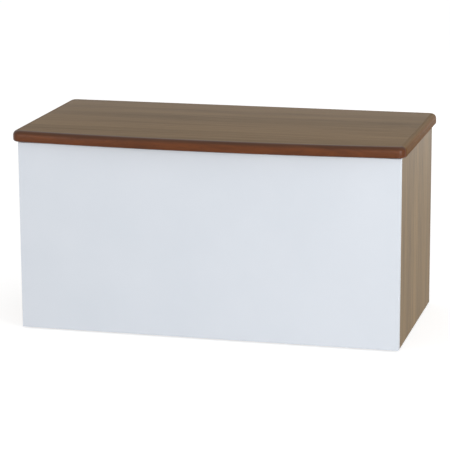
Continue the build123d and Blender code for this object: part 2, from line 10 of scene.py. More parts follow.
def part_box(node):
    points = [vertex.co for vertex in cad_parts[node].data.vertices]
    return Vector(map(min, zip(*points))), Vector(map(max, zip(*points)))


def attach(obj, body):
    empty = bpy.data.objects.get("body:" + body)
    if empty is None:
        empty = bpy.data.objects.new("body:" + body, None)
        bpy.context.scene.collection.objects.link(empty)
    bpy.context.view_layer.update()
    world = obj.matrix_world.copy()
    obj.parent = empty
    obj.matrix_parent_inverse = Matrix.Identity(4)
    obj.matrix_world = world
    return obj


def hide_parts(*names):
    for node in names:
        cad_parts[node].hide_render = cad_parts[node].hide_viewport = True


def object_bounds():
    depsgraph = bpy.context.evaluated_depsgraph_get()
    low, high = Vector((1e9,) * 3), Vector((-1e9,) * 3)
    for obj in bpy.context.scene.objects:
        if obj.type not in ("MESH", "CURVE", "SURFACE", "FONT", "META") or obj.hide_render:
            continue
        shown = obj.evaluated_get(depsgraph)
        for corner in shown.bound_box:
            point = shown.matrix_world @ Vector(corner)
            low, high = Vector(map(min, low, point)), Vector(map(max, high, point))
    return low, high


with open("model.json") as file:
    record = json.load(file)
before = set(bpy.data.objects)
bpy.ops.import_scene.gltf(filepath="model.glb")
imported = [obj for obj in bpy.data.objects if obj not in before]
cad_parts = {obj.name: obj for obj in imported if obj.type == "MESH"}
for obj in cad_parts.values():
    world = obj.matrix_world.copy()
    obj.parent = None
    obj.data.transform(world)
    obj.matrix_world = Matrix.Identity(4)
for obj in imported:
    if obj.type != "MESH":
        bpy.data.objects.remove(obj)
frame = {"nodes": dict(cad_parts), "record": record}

# The looks of a laminated-board toy box: a white front, wood-grain ends and lid, a lacquered
# moulding round the lid, and the metal and plastic fittings that show when the lid is up.

cad_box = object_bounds()
MM = 0.001

# Sizes that the frame's boxes don't give, the same as the part's own
LID_BOW = 24 * MM
LID_CORNER_RADIUS = 18 * MM
MOULDING_WIDTH = 12 * MM
MOULDING_TOP_RADIUS = 11 * MM
MOULDING_BOTTOM_RADIUS = 5 * MM
FIT_GAP = 0.05 * MM
HINGE_LEAF = 1 * MM
HINGE_KNUCKLES = 33
KNUCKLE_GAP = 0.3 * MM
HINGE_SCREWS = 9
HINGE_SCREW_SHANK = 1.25 * MM
CAM_INSET = 72 * MM
CAM_EDGE_DISTANCE = 34 * MM
GLIDE_RADIUS = 7 * MM
BUMPER_RADIUS = 5 * MM
BUMPER_INSET = 40 * MM
STAY_SHEET = 3 * MM
CRANK_HUB_RADIUS = 12 * MM
CRANK_END_RADIUS = 9 * MM
LINK_RADIUS = 8.5 * MM
RIVET_RADIUS = 5.5 * MM
HOUSING_PLATE = 2 * MM
STAY_SCREW_SHANK = 1.75 * MM
STAY_SCREW_LENGTH = 12 * MM

# A rivet's heads, and its shank, which ends inside them
RIVET_HEAD_HEIGHT = 1.5 * MM
RIVET_SHANK_RADIUS = 3 * MM
RIVET_SHANK_SETBACK = 1 * MM

# Round heads with a driver's cross sunk in their face
Head = namedtuple("Head", "radius height rounding cross_length cross_width cross_depth")
HINGE_SCREW_HEAD = Head(
    radius=2.4 * MM, height=0.35 * MM, rounding=0.2 * MM,
    cross_length=2.7 * MM, cross_width=0.8 * MM, cross_depth=0.3 * MM,
)
STAY_SCREW_HEAD = Head(
    radius=3.5 * MM, height=2.4 * MM, rounding=0.9 * MM,
    cross_length=3.8 * MM, cross_width=1.1 * MM, cross_depth=1.2 * MM,
)
CAM_HEAD = Head(
    radius=7.45 * MM, height=12 * MM, rounding=0.4 * MM,
    cross_length=9 * MM, cross_width=1.8 * MM, cross_depth=2 * MM,
)

# A wood screw's thread and point, as shares of its shank's radius
THREAD_ROOT_SHARE = 0.68
THREAD_PITCH_SHARE = 0.9
POINT_LENGTH_SHARE = 2
POINT_RADIUS_SHARE = 0.12

# Roundings that catch the light
TAPE_ARRIS = 0.7 * MM
SEAM_ARRIS = 0.2 * MM
SHEET_ARRIS = 0.5 * MM
LEAF_ARRIS = 0.2 * MM
KNUCKLE_ARRIS = 0.25 * MM
GLIDE_ROUNDING = 1.5 * MM
BUMPER_ROUNDING = 1.4 * MM
RIVET_ROUNDING = 1.2 * MM

# How finely round shapes are divided, and the angle up to which neighbouring faces shade as one
ROUND_STEPS = 32
STRAP_STEPS = 2 * ROUND_STEPS
BOW_STEPS = 24
LID_CORNER_STEPS = 10
MOULDING_TOP_STEPS = 8
MOULDING_BOTTOM_STEPS = 6
PAD_STEPS = 5
ARRIS_STEPS = 3
FINE_ARRIS_STEPS = 2
SMOOTH_ANGLE = radians(32)

# Faces flatter to each other than the first angle are joined; a sheet's rim is sharper than the second
FLAT_ANGLE = radians(1)
RIM_ANGLE = radians(60)

# The dressed lid keeps inside the CAD lid by the finish gap. Levels closer than the next length are one
# level, and points closer than the weld become one point.
FINISH_GAP = 0.01 * MM
SAME_LEVEL = 0.01 * MM
WELD = 0.001 * MM

SIDES = {"left": -1, "right": 1}
X, Y, Z = range(3)
UP = Vector((0, 0, 1))

joint_places = {joint["name"]: Vector(joint["pos_m"]) for joint in frame["record"]["behaviour"]["joints"]}


# Shader building

def new_material(name):
    material = bpy.data.materials.new(name)
    material.use_nodes = True
    tree = material.node_tree
    shader = tree.nodes["Principled BSDF"]
    return material, tree, shader


def set_inputs(node, values):
    """Sets input values by socket name, where an underscore stands for a space."""
    for name, value in values.items():
        node.inputs[name.replace("_", " ")].default_value = value


def add_node(tree, kind, **values):
    node = tree.nodes.new(kind)
    set_inputs(node, values)
    return node


def use_group(tree, group, **values):
    node = tree.nodes.new("ShaderNodeGroup")
    node.node_tree = group
    set_inputs(node, values)
    return node


def new_group(name, inputs, outputs):
    """An empty shader group with its (name, kind) sockets in and out."""
    group = bpy.data.node_groups.new(name, "ShaderNodeTree")
    for socket_name, kind in inputs:
        group.interface.new_socket(socket_name, in_out="INPUT", socket_type=kind)
    for socket_name, kind in outputs:
        group.interface.new_socket(socket_name, in_out="OUTPUT", socket_type=kind)
    entry = group.nodes.new("NodeGroupInput")
    result = group.nodes.new("NodeGroupOutput")
    return group, entry, result


def math_node(tree, operation, first, second):
    """A Math node whose two inputs are sockets or numbers."""
    node = tree.nodes.new("ShaderNodeMath")
    node.operation = operation
    for socket, value in zip(node.inputs, (first, second)):
        if isinstance(value, (int, float)):
            socket.default_value = value
        else:
            tree.links.new(value, socket)
    return node.outputs["Value"]


def ramp_node(tree, factor, positions, colours):
    """A colour ramp through colours at rising positions."""
    node = tree.nodes.new("ShaderNodeValToRGB")
    while len(node.color_ramp.elements) < len(positions):
        node.color_ramp.elements.new(0.5)
    for element, position, colour in zip(node.color_ramp.elements, positions, colours):
        element.position = position
        element.color = (*colour, 1)
    tree.links.new(factor, node.inputs["Fac"])
    return node.outputs["Color"]


def blend(tree, kind, factor, first, second):
    """Two colours mixed by a factor: the second is a socket or one plain colour."""
    mix = tree.nodes.new("ShaderNodeMix")
    mix.data_type = "RGBA"
    mix.blend_type = kind
    tree.links.new(factor, mix.inputs["Factor"])
    tree.links.new(first, mix.inputs["A"])
    if isinstance(second, tuple):
        mix.inputs["B"].default_value = (*second, 1)
    else:
        tree.links.new(second, mix.inputs["B"])
    return mix.outputs["Result"]


def stretched_noise(tree, vector, rate, detail, roughness=0.55):
    """Noise with its own rate along X, Y and Z, in features to the metre."""
    mapping = add_node(tree, "ShaderNodeMapping", Scale=rate)
    tree.links.new(vector, mapping.inputs["Vector"])
    noise = add_node(tree, "ShaderNodeTexNoise", Scale=1.0, Detail=detail, Roughness=roughness)
    tree.links.new(mapping.outputs["Vector"], noise.inputs["Vector"])
    return noise.outputs["Fac"]


def object_vector(tree, turn=(0, 0, 0), shift=(0, 0, 0), scale=(1, 1, 1)):
    """Object coordinates, turned and shifted so that each board shows its own stretch of pattern."""
    coordinates = tree.nodes.new("ShaderNodeTexCoord")
    mapping = add_node(tree, "ShaderNodeMapping", Rotation=turn, Location=shift, Scale=scale)
    tree.links.new(coordinates.outputs["Object"], mapping.inputs["Vector"])
    return mapping.outputs["Vector"]


def link_roughness(tree, shader, pattern, spread, base):
    """Roughness that rises from a base with a pattern."""
    rise = math_node(tree, "MULTIPLY", pattern, spread)
    tree.links.new(math_node(tree, "ADD", rise, base), shader.inputs["Roughness"])


def link_bump(tree, shader, height, strength, depth):
    bump = add_node(tree, "ShaderNodeBump", Strength=strength, Distance=depth)
    tree.links.new(height, bump.inputs["Height"])
    tree.links.new(bump.outputs["Normal"], shader.inputs["Normal"])


# Wood figure, with its grain along X: features to the metre along and across the grain
WANDER_RATE = (1.6, 4, 4)
BAND_RATE = (0.8, 15, 15)
STREAK_RATE = (1.7, 110, 110)
FIBRE_RATE = (11, 620, 620)
PORE_RATE = (38, 1100, 1100)
# How far the grain wanders sideways, and the share that each feature has in the wood's tone
WANDER_REACH = 60 * MM
BAND_SHARE = 0.42
STREAK_SHARE = 0.40
FIBRE_SHARE = 0.18
STREAK_ROUGHNESS = 0.6
# The pore noise at which a pore starts and is full, and the fibres' relief beside a pore's depth of one
PORE_START = 0.60
PORE_FULL = 0.72
FIBRE_RELIEF = 0.5


def wood_figure_group():
    """Straight-grown wood: a tone from dark to light, open pores and their relief."""
    group, entry, result = new_group(
        "wood figure",
        [("Vector", "NodeSocketVector")],
        [("Tone", "NodeSocketFloat"), ("Pores", "NodeSocketFloat"), ("Height", "NodeSocketFloat")],
    )
    vector = entry.outputs["Vector"]
    wander = stretched_noise(group, vector, WANDER_RATE, detail=1)
    drift = math_node(group, "MULTIPLY", math_node(group, "SUBTRACT", wander, 0.5), WANDER_REACH)
    sideways = group.nodes.new("ShaderNodeCombineXYZ")
    group.links.new(drift, sideways.inputs["Y"])
    group.links.new(drift, sideways.inputs["Z"])
    addition = group.nodes.new("ShaderNodeVectorMath")
    addition.operation = "ADD"
    group.links.new(vector, addition.inputs[0])
    group.links.new(sideways.outputs["Vector"], addition.inputs[1])
    grown = addition.outputs["Vector"]

    bands = stretched_noise(group, grown, BAND_RATE, detail=2)
    streaks = stretched_noise(group, grown, STREAK_RATE, detail=5, roughness=STREAK_ROUGHNESS)
    fibres = stretched_noise(group, grown, FIBRE_RATE, detail=2)
    broad = math_node(group, "MULTIPLY", bands, BAND_SHARE)
    narrow = math_node(group, "MULTIPLY", streaks, STREAK_SHARE)
    thin = math_node(group, "MULTIPLY", fibres, FIBRE_SHARE)
    tone = math_node(group, "ADD", math_node(group, "ADD", broad, narrow), thin)

    pore_noise = stretched_noise(group, grown, PORE_RATE, detail=1)
    pores = add_node(group, "ShaderNodeMapRange", From_Min=PORE_START, From_Max=PORE_FULL)
    group.links.new(pore_noise, pores.inputs["Value"])
    raised = math_node(group, "MULTIPLY", fibres, FIBRE_RELIEF)
    height = math_node(group, "SUBTRACT", raised, pores.outputs["Result"])

    group.links.new(tone, result.inputs["Tone"])
    group.links.new(pores.outputs["Result"], result.inputs["Pores"])
    group.links.new(height, result.inputs["Height"])
    return group


# Pressed skins and rolled metal: features to the metre
PEBBLE_RATE = (900, 900, 900)
CLOUD_RATE = (5, 5, 5)
ROLLING_MARK_RATE = (40, 2600, 2600)
DULL_SPOT_RATE = (60, 60, 60)


def pressed_skin_group():
    """The faint pebble of pressed melamine and moulded plastic, and a slow cloudiness."""
    group, entry, result = new_group(
        "pressed skin",
        [("Vector", "NodeSocketVector"), ("Pebble Scale", "NodeSocketFloat")],
        [("Cloud", "NodeSocketFloat"), ("Pebble", "NodeSocketFloat")],
    )
    scaled = group.nodes.new("ShaderNodeVectorMath")
    scaled.operation = "SCALE"
    group.links.new(entry.outputs["Vector"], scaled.inputs[0])
    group.links.new(entry.outputs["Pebble Scale"], scaled.inputs["Scale"])
    pebble = stretched_noise(group, scaled.outputs["Vector"], PEBBLE_RATE, detail=2)
    cloud = stretched_noise(group, entry.outputs["Vector"], CLOUD_RATE, detail=3)
    group.links.new(cloud, result.inputs["Cloud"])
    group.links.new(pebble, result.inputs["Pebble"])
    return group


def rolled_metal_group():
    """Rolling marks along X in sheet and wire, with a few dull spots."""
    group, entry, result = new_group(
        "rolled metal",
        [("Vector", "NodeSocketVector")],
        [("Marks", "NodeSocketFloat"), ("Dullness", "NodeSocketFloat")],
    )
    marks = stretched_noise(group, entry.outputs["Vector"], ROLLING_MARK_RATE, detail=3)
    dull = stretched_noise(group, entry.outputs["Vector"], DULL_SPOT_RATE, detail=4)
    group.links.new(marks, result.inputs["Marks"])
    group.links.new(dull, result.inputs["Dullness"])
    return group


wood_figure = wood_figure_group()
pressed_skin = pressed_skin_group()
rolled_metal = rolled_metal_group()

# Where a pattern's value meets each colour of a material
TONE_POSITIONS = (0.36, 0.50, 0.64)
CLOUD_POSITIONS = (0.35, 0.65)
DULL_POSITIONS = (0.35, 0.60)
PORE_SHADE = (0.55, 0.50, 0.46)

# How much the pattern roughens a surface, and how strong and deep its relief is
WOOD_ROUGHNESS_SPREAD = 0.12
SKIN_ROUGHNESS_SPREAD = 0.14
METAL_ROUGHNESS_SPREAD = 0.25
WOOD_RELIEF = 0.25
METAL_RELIEF = 0.1
SKIN_DEPTH = 0.1 * MM
WOOD_DEPTH = 0.1 * MM
METAL_DEPTH = 0.05 * MM


def wood_material(
    name, wood_tones, turn, shift, roughness, specular, pore_depth=0.3, painted_crown=None, scale=(1, 1, 1)
):
    """Printed or real wood: its tones are the dark, middle and light colours of the figure.

    A painted crown is (low z, high z, tones): between the two heights the wood passes into those tones, used
    for painted shade and painted sheen over a top round.
    """
    material, tree, shader = new_material(name)
    figure = use_group(tree, wood_figure)
    tree.links.new(object_vector(tree, turn, shift, scale), figure.inputs["Vector"])
    tone = figure.outputs["Tone"]
    colour = ramp_node(tree, tone, TONE_POSITIONS, wood_tones)
    # Painted shade and sheen, blended in by height
    if painted_crown:
        low, high, painted_crown_tones = painted_crown
        height = tree.nodes.new("ShaderNodeSeparateXYZ")
        tree.links.new(object_vector(tree), height.inputs["Vector"])
        share = add_node(tree, "ShaderNodeMapRange", From_Min=low, From_Max=high)
        share.interpolation_type = "SMOOTHSTEP"
        tree.links.new(height.outputs["Z"], share.inputs["Value"])
        painted_crown_colour = ramp_node(tree, tone, TONE_POSITIONS, painted_crown_tones)
        colour = blend(tree, "MIX", share.outputs["Result"], colour, painted_crown_colour)
    pores = math_node(tree, "MULTIPLY", figure.outputs["Pores"], pore_depth)
    colour = blend(tree, "MULTIPLY", pores, colour, PORE_SHADE)
    tree.links.new(colour, shader.inputs["Base Color"])
    shader.inputs["Specular IOR Level"].default_value = specular
    link_roughness(tree, shader, tone, WOOD_ROUGHNESS_SPREAD, roughness)
    link_bump(tree, shader, figure.outputs["Height"], WOOD_RELIEF, WOOD_DEPTH)
    return material


def skin_material(name, colour, cloud_colour, roughness, specular, pebble_scale=1.0, relief=0.12):
    """Melamine, tape, plastic or rubber: one colour with a faint cloud and pebble."""
    material, tree, shader = new_material(name)
    skin = use_group(tree, pressed_skin, Pebble_Scale=pebble_scale)
    tree.links.new(object_vector(tree), skin.inputs["Vector"])
    tint = ramp_node(tree, skin.outputs["Cloud"], CLOUD_POSITIONS, (cloud_colour, colour))
    tree.links.new(tint, shader.inputs["Base Color"])
    shader.inputs["Specular IOR Level"].default_value = specular
    link_roughness(tree, shader, skin.outputs["Pebble"], SKIN_ROUGHNESS_SPREAD, roughness)
    link_bump(tree, shader, skin.outputs["Pebble"], relief, SKIN_DEPTH)
    return material


def metal_material(name, colour, dull_colour, roughness, turn=(0, 0, 0)):
    """Bare or plated metal with rolling marks and dull spots."""
    material, tree, shader = new_material(name)
    metal = use_group(tree, rolled_metal)
    tree.links.new(object_vector(tree, turn), metal.inputs["Vector"])
    tint = ramp_node(tree, metal.outputs["Dullness"], DULL_POSITIONS, (dull_colour, colour))
    tree.links.new(tint, shader.inputs["Base Color"])
    shader.inputs["Metallic"].default_value = 1.0
    link_roughness(tree, shader, metal.outputs["Marks"], METAL_ROUGHNESS_SPREAD, roughness)
    link_bump(tree, shader, metal.outputs["Marks"], METAL_RELIEF, METAL_DEPTH)
    return material


# Finishes

LENGTHWAYS_GRAIN = (0, 0, 0)  # along X, as the figure has it
UPRIGHT_GRAIN = (0, radians(90), 0)  # turns Z, the grain of a standing board, onto X
FORE_AND_AFT_GRAIN = (0, 0, radians(90))  # turns Y onto X
SHORT_FIGURE = (3, 1, 1)  # changes three times as fast along X
MOULDING_PORES = 0.5


def tone_set(middle, spread):
    """Dark, middle and light colours about a middle one."""
    dark = tuple(channel * (1 - spread) for channel in middle)
    light = tuple(channel * (1 + spread) for channel in middle)
    return dark, middle, light


END_TONES = tone_set((0.232, 0.158, 0.082), 0.34)
LID_TONES = tone_set((0.243, 0.171, 0.104), 0.26)
FRONT_MOULDING_TONES = tone_set((0.114, 0.031, 0.006), 0.40)
# The moulding's ends and back: the same wood as its front, coloured lighter and less red as painted light
END_MOULDING_PAINTED_LIGHT_TONES = tone_set((0.140, 0.059, 0.012), 0.40)
# Painted shade over the moulding's front round
PAINTED_SHADE_TONES = tone_set((0.073, 0.026, 0.010), 0.30)
# Painted sheen over the top round of the moulding's ends and back, in a lighter board-like tone
PAINTED_SHEEN_TONES = tone_set((0.228, 0.156, 0.090), 0.26)
BEECH_TONES = tone_set((0.56, 0.40, 0.23), 0.15)
WHITE = (0.735, 0.772, 0.828)
CLOUDY_WHITE = (0.715, 0.755, 0.812)

# The moulding's colour darkens over its front round, a painted shade. On the ends and back it passes at its
# top into a lighter, board-like tone, a painted sheen. Depths are below the lid's top.
PAINTED_SHADE_START_DEPTH = 11 * MM
PAINTED_SHADE_FULL_DEPTH = 3 * MM
PAINTED_SHEEN_START_DEPTH = 6.5 * MM
lid_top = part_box("lid_edge_moulding")[1].z
front_painted_shade = (lid_top - PAINTED_SHADE_START_DEPTH, lid_top - PAINTED_SHADE_FULL_DEPTH, PAINTED_SHADE_TONES)
end_painted_sheen = (lid_top - PAINTED_SHEEN_START_DEPTH, lid_top, PAINTED_SHEEN_TONES)

end_laminate = wood_material(
    "end laminate", END_TONES, UPRIGHT_GRAIN, shift=(0.3, 0.7, 0.2), roughness=0.50, specular=0.13
)
back_laminate = wood_material(
    "back laminate", END_TONES, UPRIGHT_GRAIN, shift=(1.3, 2.7, 0.9), roughness=0.42, specular=0.15
)
lid_laminate = wood_material(
    "lid laminate", LID_TONES, LENGTHWAYS_GRAIN, shift=(0.4, 0.15, 0.3), roughness=0.50, specular=0.05
)
# The front stretch takes a painted shade over its top round
front_lacquer = wood_material(
    "front moulding lacquer", FRONT_MOULDING_TONES, LENGTHWAYS_GRAIN, shift=(0.1, 0.9, 0.5),
    roughness=0.28, specular=0.24, pore_depth=MOULDING_PORES, painted_crown=front_painted_shade, scale=SHORT_FIGURE,
)
# The ends and back take a painted sheen over their top round
end_lacquer = wood_material(
    "end moulding lacquer", END_MOULDING_PAINTED_LIGHT_TONES, FORE_AND_AFT_GRAIN, shift=(0.6, 0.2, 0.5),
    roughness=0.60, specular=0.04, pore_depth=MOULDING_PORES, painted_crown=end_painted_sheen, scale=SHORT_FIGURE,
)
back_lacquer = wood_material(
    "back moulding lacquer", END_MOULDING_PAINTED_LIGHT_TONES, LENGTHWAYS_GRAIN, shift=(0.8, 0.4, 0.1),
    roughness=0.60, specular=0.04, pore_depth=MOULDING_PORES, painted_crown=end_painted_sheen, scale=SHORT_FIGURE,
)
beech = wood_material(
    "dowel beech", BEECH_TONES, LENGTHWAYS_GRAIN, shift=(0, 0, 0), roughness=0.55, specular=0.3
)
upright_tape = wood_material(
    "upright edge tape", END_TONES, UPRIGHT_GRAIN, shift=(2.1, 0.3, 0.4), roughness=0.42, specular=0.15
)
end_top_tape = wood_material(
    "end panel top tape", END_TONES, FORE_AND_AFT_GRAIN, shift=(1.4, 0.8, 0.6),
    roughness=0.42, specular=0.15,
)
back_top_tape = wood_material(
    "back panel top tape", END_TONES, LENGTHWAYS_GRAIN, shift=(0.7, 1.6, 0.2),
    roughness=0.42, specular=0.15,
)
white_melamine = skin_material("white melamine", WHITE, CLOUDY_WHITE, roughness=0.30, specular=0.35)
white_tape = skin_material("white edge tape", WHITE, CLOUDY_WHITE, roughness=0.34, specular=0.35)
damper_plastic = skin_material(
    "damper plastic", (0.12, 0.125, 0.13), (0.10, 0.105, 0.11),
    roughness=0.42, specular=0.45, pebble_scale=1.6, relief=0.3,
)
glide_plastic = skin_material(
    "glide plastic", (0.52, 0.50, 0.46), (0.47, 0.45, 0.42),
    roughness=0.40, specular=0.45, pebble_scale=1.2, relief=0.2,
)
bumper_rubber = skin_material(
    "bumper rubber", (0.62, 0.62, 0.60), (0.56, 0.56, 0.54), roughness=0.32, specular=0.5, relief=0.08
)
plated_steel = metal_material("plated steel", (0.66, 0.65, 0.62), (0.61, 0.60, 0.57), roughness=0.20)
stay_steel = metal_material(
    "stay steel", (0.60, 0.60, 0.59), (0.48, 0.48, 0.47), roughness=0.24, turn=FORE_AND_AFT_GRAIN
)
zinc_casting = metal_material("zinc casting", (0.52, 0.52, 0.53), (0.40, 0.40, 0.41), roughness=0.34)


# Mesh building

def only_verts(geometry):
    return [item for item in geometry if isinstance(item, bmesh.types.BMVert)]


def later_verts(bm, earlier):
    """The vertices that aren't in an earlier set, in the mesh's own order."""
    return [vert for vert in bm.verts if vert not in earlier]


def edges_between(verts):
    """Every edge that joins two of the given vertices."""
    chosen = set(verts)
    edges = dict.fromkeys(edge for vert in verts for edge in vert.link_edges)
    return [edge for edge in edges if chosen.issuperset(edge.verts)]


def round_edges(bm, edges, radius, steps):
    bmesh.ops.bevel(
        bm, geom=edges, offset=radius, offset_type="OFFSET", affect="EDGES", segments=steps, profile=0.5,
        material=-1, clamp_overlap=True,
    )


def place_at(point, normal):
    """A frame at a point whose Z looks along a normal."""
    return Matrix.Translation(point) @ Vector(normal).to_track_quat("Z", "Y").to_matrix().to_4x4()


def add_box(bm, low, high):
    verts = bmesh.ops.create_cube(bm, size=1)["verts"]
    bmesh.ops.scale(bm, vec=Vector(high) - Vector(low), verts=verts)
    bmesh.ops.translate(bm, vec=(Vector(low) + Vector(high)) / 2, verts=verts)
    return verts


def add_rod(bm, start, end, radius):
    """A closed cylinder between two points."""
    start = Vector(start)
    end = Vector(end)
    axis = end - start
    verts = bmesh.ops.create_cone(
        bm, cap_ends=True, cap_tris=False, segments=ROUND_STEPS, radius1=radius, radius2=radius,
        depth=axis.length,
    )["verts"]
    bmesh.ops.transform(bm, matrix=place_at((start + end) / 2, axis), verts=verts)
    return verts


def turned_shape(bm, profile, place):
    """A closed shape of revolution about local Z, from (radius, height) points, set at a place."""
    earlier = set(bm.verts)
    verts = [bm.verts.new((radius, 0, height)) for radius, height in profile]
    edges = [bm.edges.new(pair) for pair in zip(verts, verts[1:])]
    bmesh.ops.spin(
        bm, geom=verts + edges, cent=(0, 0, 0), axis=UP, angle=2 * pi, steps=ROUND_STEPS, use_merge=True
    )
    bmesh.ops.remove_doubles(bm, verts=later_verts(bm, earlier), dist=WELD)
    bmesh.ops.transform(bm, matrix=place, verts=later_verts(bm, earlier))


def rounded_profile(radius, height, rounding):
    """Half the section of a disc on z 0 with a rounded top arris, from axis to axis."""
    points = [(0, 0), (radius, 0)]
    for step in range(PAD_STEPS + 1):
        angle = pi / 2 * step / PAD_STEPS
        points.append((radius - rounding + rounding * cos(angle), height - rounding + rounding * sin(angle)))
    points.append((0, height))
    return points


def screw_stem(shank, neck, length):
    """(radius, height) points down a screw: its neck, a thread of sharp ridges, and its point."""
    root = shank * THREAD_ROOT_SHARE
    pitch = shank * THREAD_PITCH_SHARE
    ridges = int((length - neck - shank * POINT_LENGTH_SHARE) / pitch)
    points = [(shank, -neck)]
    for ridge in range(ridges):
        crest = -neck - (ridge + 1) * pitch
        points += [(root, crest + pitch / 2), (shank, crest)]
    points.append((root, points[-1][1] - pitch / 2))
    points.append((shank * POINT_RADIUS_SHARE, -length))
    return points


def add_recessed_head(bm, head, place, stem=()):
    """A head standing on local z 0, with a driver's cross sunk in its face and a stem below it."""
    earlier = set(bm.verts)
    radius = head.radius - head.rounding
    height = head.height
    rim = bmesh.ops.create_circle(bm, cap_ends=False, segments=ROUND_STEPS, radius=radius)["verts"]
    bmesh.ops.translate(bm, vec=(0, 0, height), verts=rim)
    edges = edges_between(rim)
    reach = head.cross_length / 2
    half = head.cross_width / 2
    corners = []
    for quarter in range(4):
        turn = Matrix.Rotation(quarter * pi / 2, 3, "Z")
        for x, y in ((reach, -half), (reach, half), (half, half)):
            corners.append(bm.verts.new(turn @ Vector((x, y, height))))
    cross = [bm.edges.new((corners[index - 1], corners[index])) for index in range(len(corners))]
    bmesh.ops.triangle_fill(bm, use_beauty=True, edges=edges + cross)

    floor = only_verts(bmesh.ops.extrude_edge_only(bm, edges=cross)["geom"])
    bmesh.ops.translate(bm, vec=(0, 0, -head.cross_depth), verts=floor)
    bmesh.ops.contextual_create(bm, geom=edges_between(floor))

    for next_radius, next_height in [(head.radius, head.height - head.rounding), (head.radius, 0), *stem]:
        ring = only_verts(bmesh.ops.extrude_edge_only(bm, edges=edges)["geom"])
        widening = next_radius / radius
        bmesh.ops.scale(bm, vec=(widening, widening, 1), verts=ring)
        bmesh.ops.translate(bm, vec=(0, 0, next_height - height), verts=ring)
        edges = edges_between(ring)
        radius = next_radius
        height = next_height
    bmesh.ops.contextual_create(bm, geom=edges)
    bmesh.ops.transform(bm, matrix=place, verts=later_verts(bm, earlier))


def add_strap(bm, x_ends, point_a, radius_a, point_b, radius_b):
    """A flat arm with round ends, between two points of the Y-Z plane, with soft edges."""
    verts = []
    for (y, z), radius in ((point_a, radius_a), (point_b, radius_b)):
        for x in x_ends:
            place = place_at((x, y, z), (1, 0, 0))
            verts += bmesh.ops.create_circle(
                bm, cap_ends=False, segments=STRAP_STEPS, radius=radius, matrix=place
            )["verts"]
    hull = bmesh.ops.convex_hull(bm, input=verts)
    bmesh.ops.delete(bm, geom=only_verts(hull["geom_interior"]), context="VERTS")
    loose = [edge for edge in bm.edges if not edge.link_faces]
    bmesh.ops.delete(bm, geom=loose, context="EDGES")
    bmesh.ops.dissolve_limit(bm, angle_limit=FLAT_ANGLE, verts=bm.verts[:], edges=bm.edges[:])
    rims = [edge for edge in bm.edges if edge.is_manifold and edge.calc_face_angle() > RIM_ANGLE]
    round_edges(bm, rims, SHEET_ARRIS, FINE_ARRIS_STEPS)


def finish_piece(bm, name, body, material, nodes):
    """Turns a mesh into a piece that rides on a body and stands for CAD nodes."""
    bmesh.ops.recalc_face_normals(bm, faces=bm.faces[:])
    mesh = bpy.data.meshes.new(name)
    bm.to_mesh(mesh)
    bm.free()
    mesh.polygons.foreach_set("use_smooth", [True] * len(mesh.polygons))
    mesh.set_sharp_from_angle(angle=SMOOTH_ANGLE)
    mesh.materials.append(material)
    piece = bpy.data.objects.new(name, mesh)
    bpy.context.collection.objects.link(piece)
    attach(piece, body)
    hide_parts(*nodes)
    return piece


def add_finish(piece, material):
    """Gives a piece one more material, and returns the index by which its faces take it."""
    piece.data.materials.append(material)
    return len(piece.data.materials) - 1


# Lid

END_FACING = 3  # a face looks to an end where its normal is this many times more along X than along Y


def lid_plan(bm):
    """The lid's outline at its underside, as one face: a bow in front and four round corners."""
    low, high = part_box("lid_edge_moulding")
    half = high.x - FINISH_GAP
    front_y = low.y + FINISH_GAP
    bow_radius = (half ** 2 + LID_BOW ** 2) / (2 * LID_BOW)
    bow_angle = 2 * asin(half / bow_radius)
    right_end = bm.verts.new((half, front_y + LID_BOW, low.z))
    bow = bmesh.ops.spin(
        bm, geom=[right_end], cent=(0, front_y + bow_radius, low.z), axis=UP, angle=-bow_angle,
        steps=BOW_STEPS,
    )
    left_end = only_verts(bow["geom_last"])[0]
    back_left = bm.verts.new((-half, high.y, low.z))
    back_right = bm.verts.new((half, high.y, low.z))
    for pair in ((left_end, back_left), (back_left, back_right), (back_right, right_end)):
        bm.edges.new(pair)
    bmesh.ops.contextual_create(bm, geom=bm.edges[:])
    bmesh.ops.bevel(
        bm, geom=[right_end, left_end, back_left, back_right], offset=LID_CORNER_RADIUS, offset_type="OFFSET",
        affect="VERTICES", segments=LID_CORNER_STEPS, profile=0.5, material=-1,
    )
    return bm.faces[:][0], high.z - low.z


def raise_faces(bm, faces, height):
    """Extrudes flat faces upwards into a closed solid."""
    raised = bmesh.ops.extrude_face_region(bm, geom=faces, use_keep_orig=True)["geom"]
    bmesh.ops.translate(bm, vec=(0, 0, height), verts=only_verts(raised))


def edges_above(bottom_edges, height):
    """The edges straight above some edges of an extruded solid's underside."""
    found = []
    for bottom in bottom_edges:
        level = bottom.verts[0].co.z + height / 2
        for face in bottom.link_faces:
            found += [edge for edge in face.edges if min(vert.co.z for vert in edge.verts) > level]
    return found


def make_lid_board():
    """The board inside the moulding, with a fine arris round its top."""
    bm = bmesh.new()
    plan, thickness = lid_plan(bm)
    ring = bmesh.ops.inset_region(
        bm, faces=[plan], thickness=MOULDING_WIDTH + FIT_GAP, use_even_offset=True, use_boundary=True
    )["faces"]
    bmesh.ops.delete(bm, geom=ring, context="FACES")
    rim = list(plan.edges)
    raise_faces(bm, [plan], thickness)
    round_edges(bm, edges_above(rim, thickness), SEAM_ARRIS, FINE_ARRIS_STEPS)
    finish_piece(bm, "lid_panel", "lid", lid_laminate, ["lid_board"])


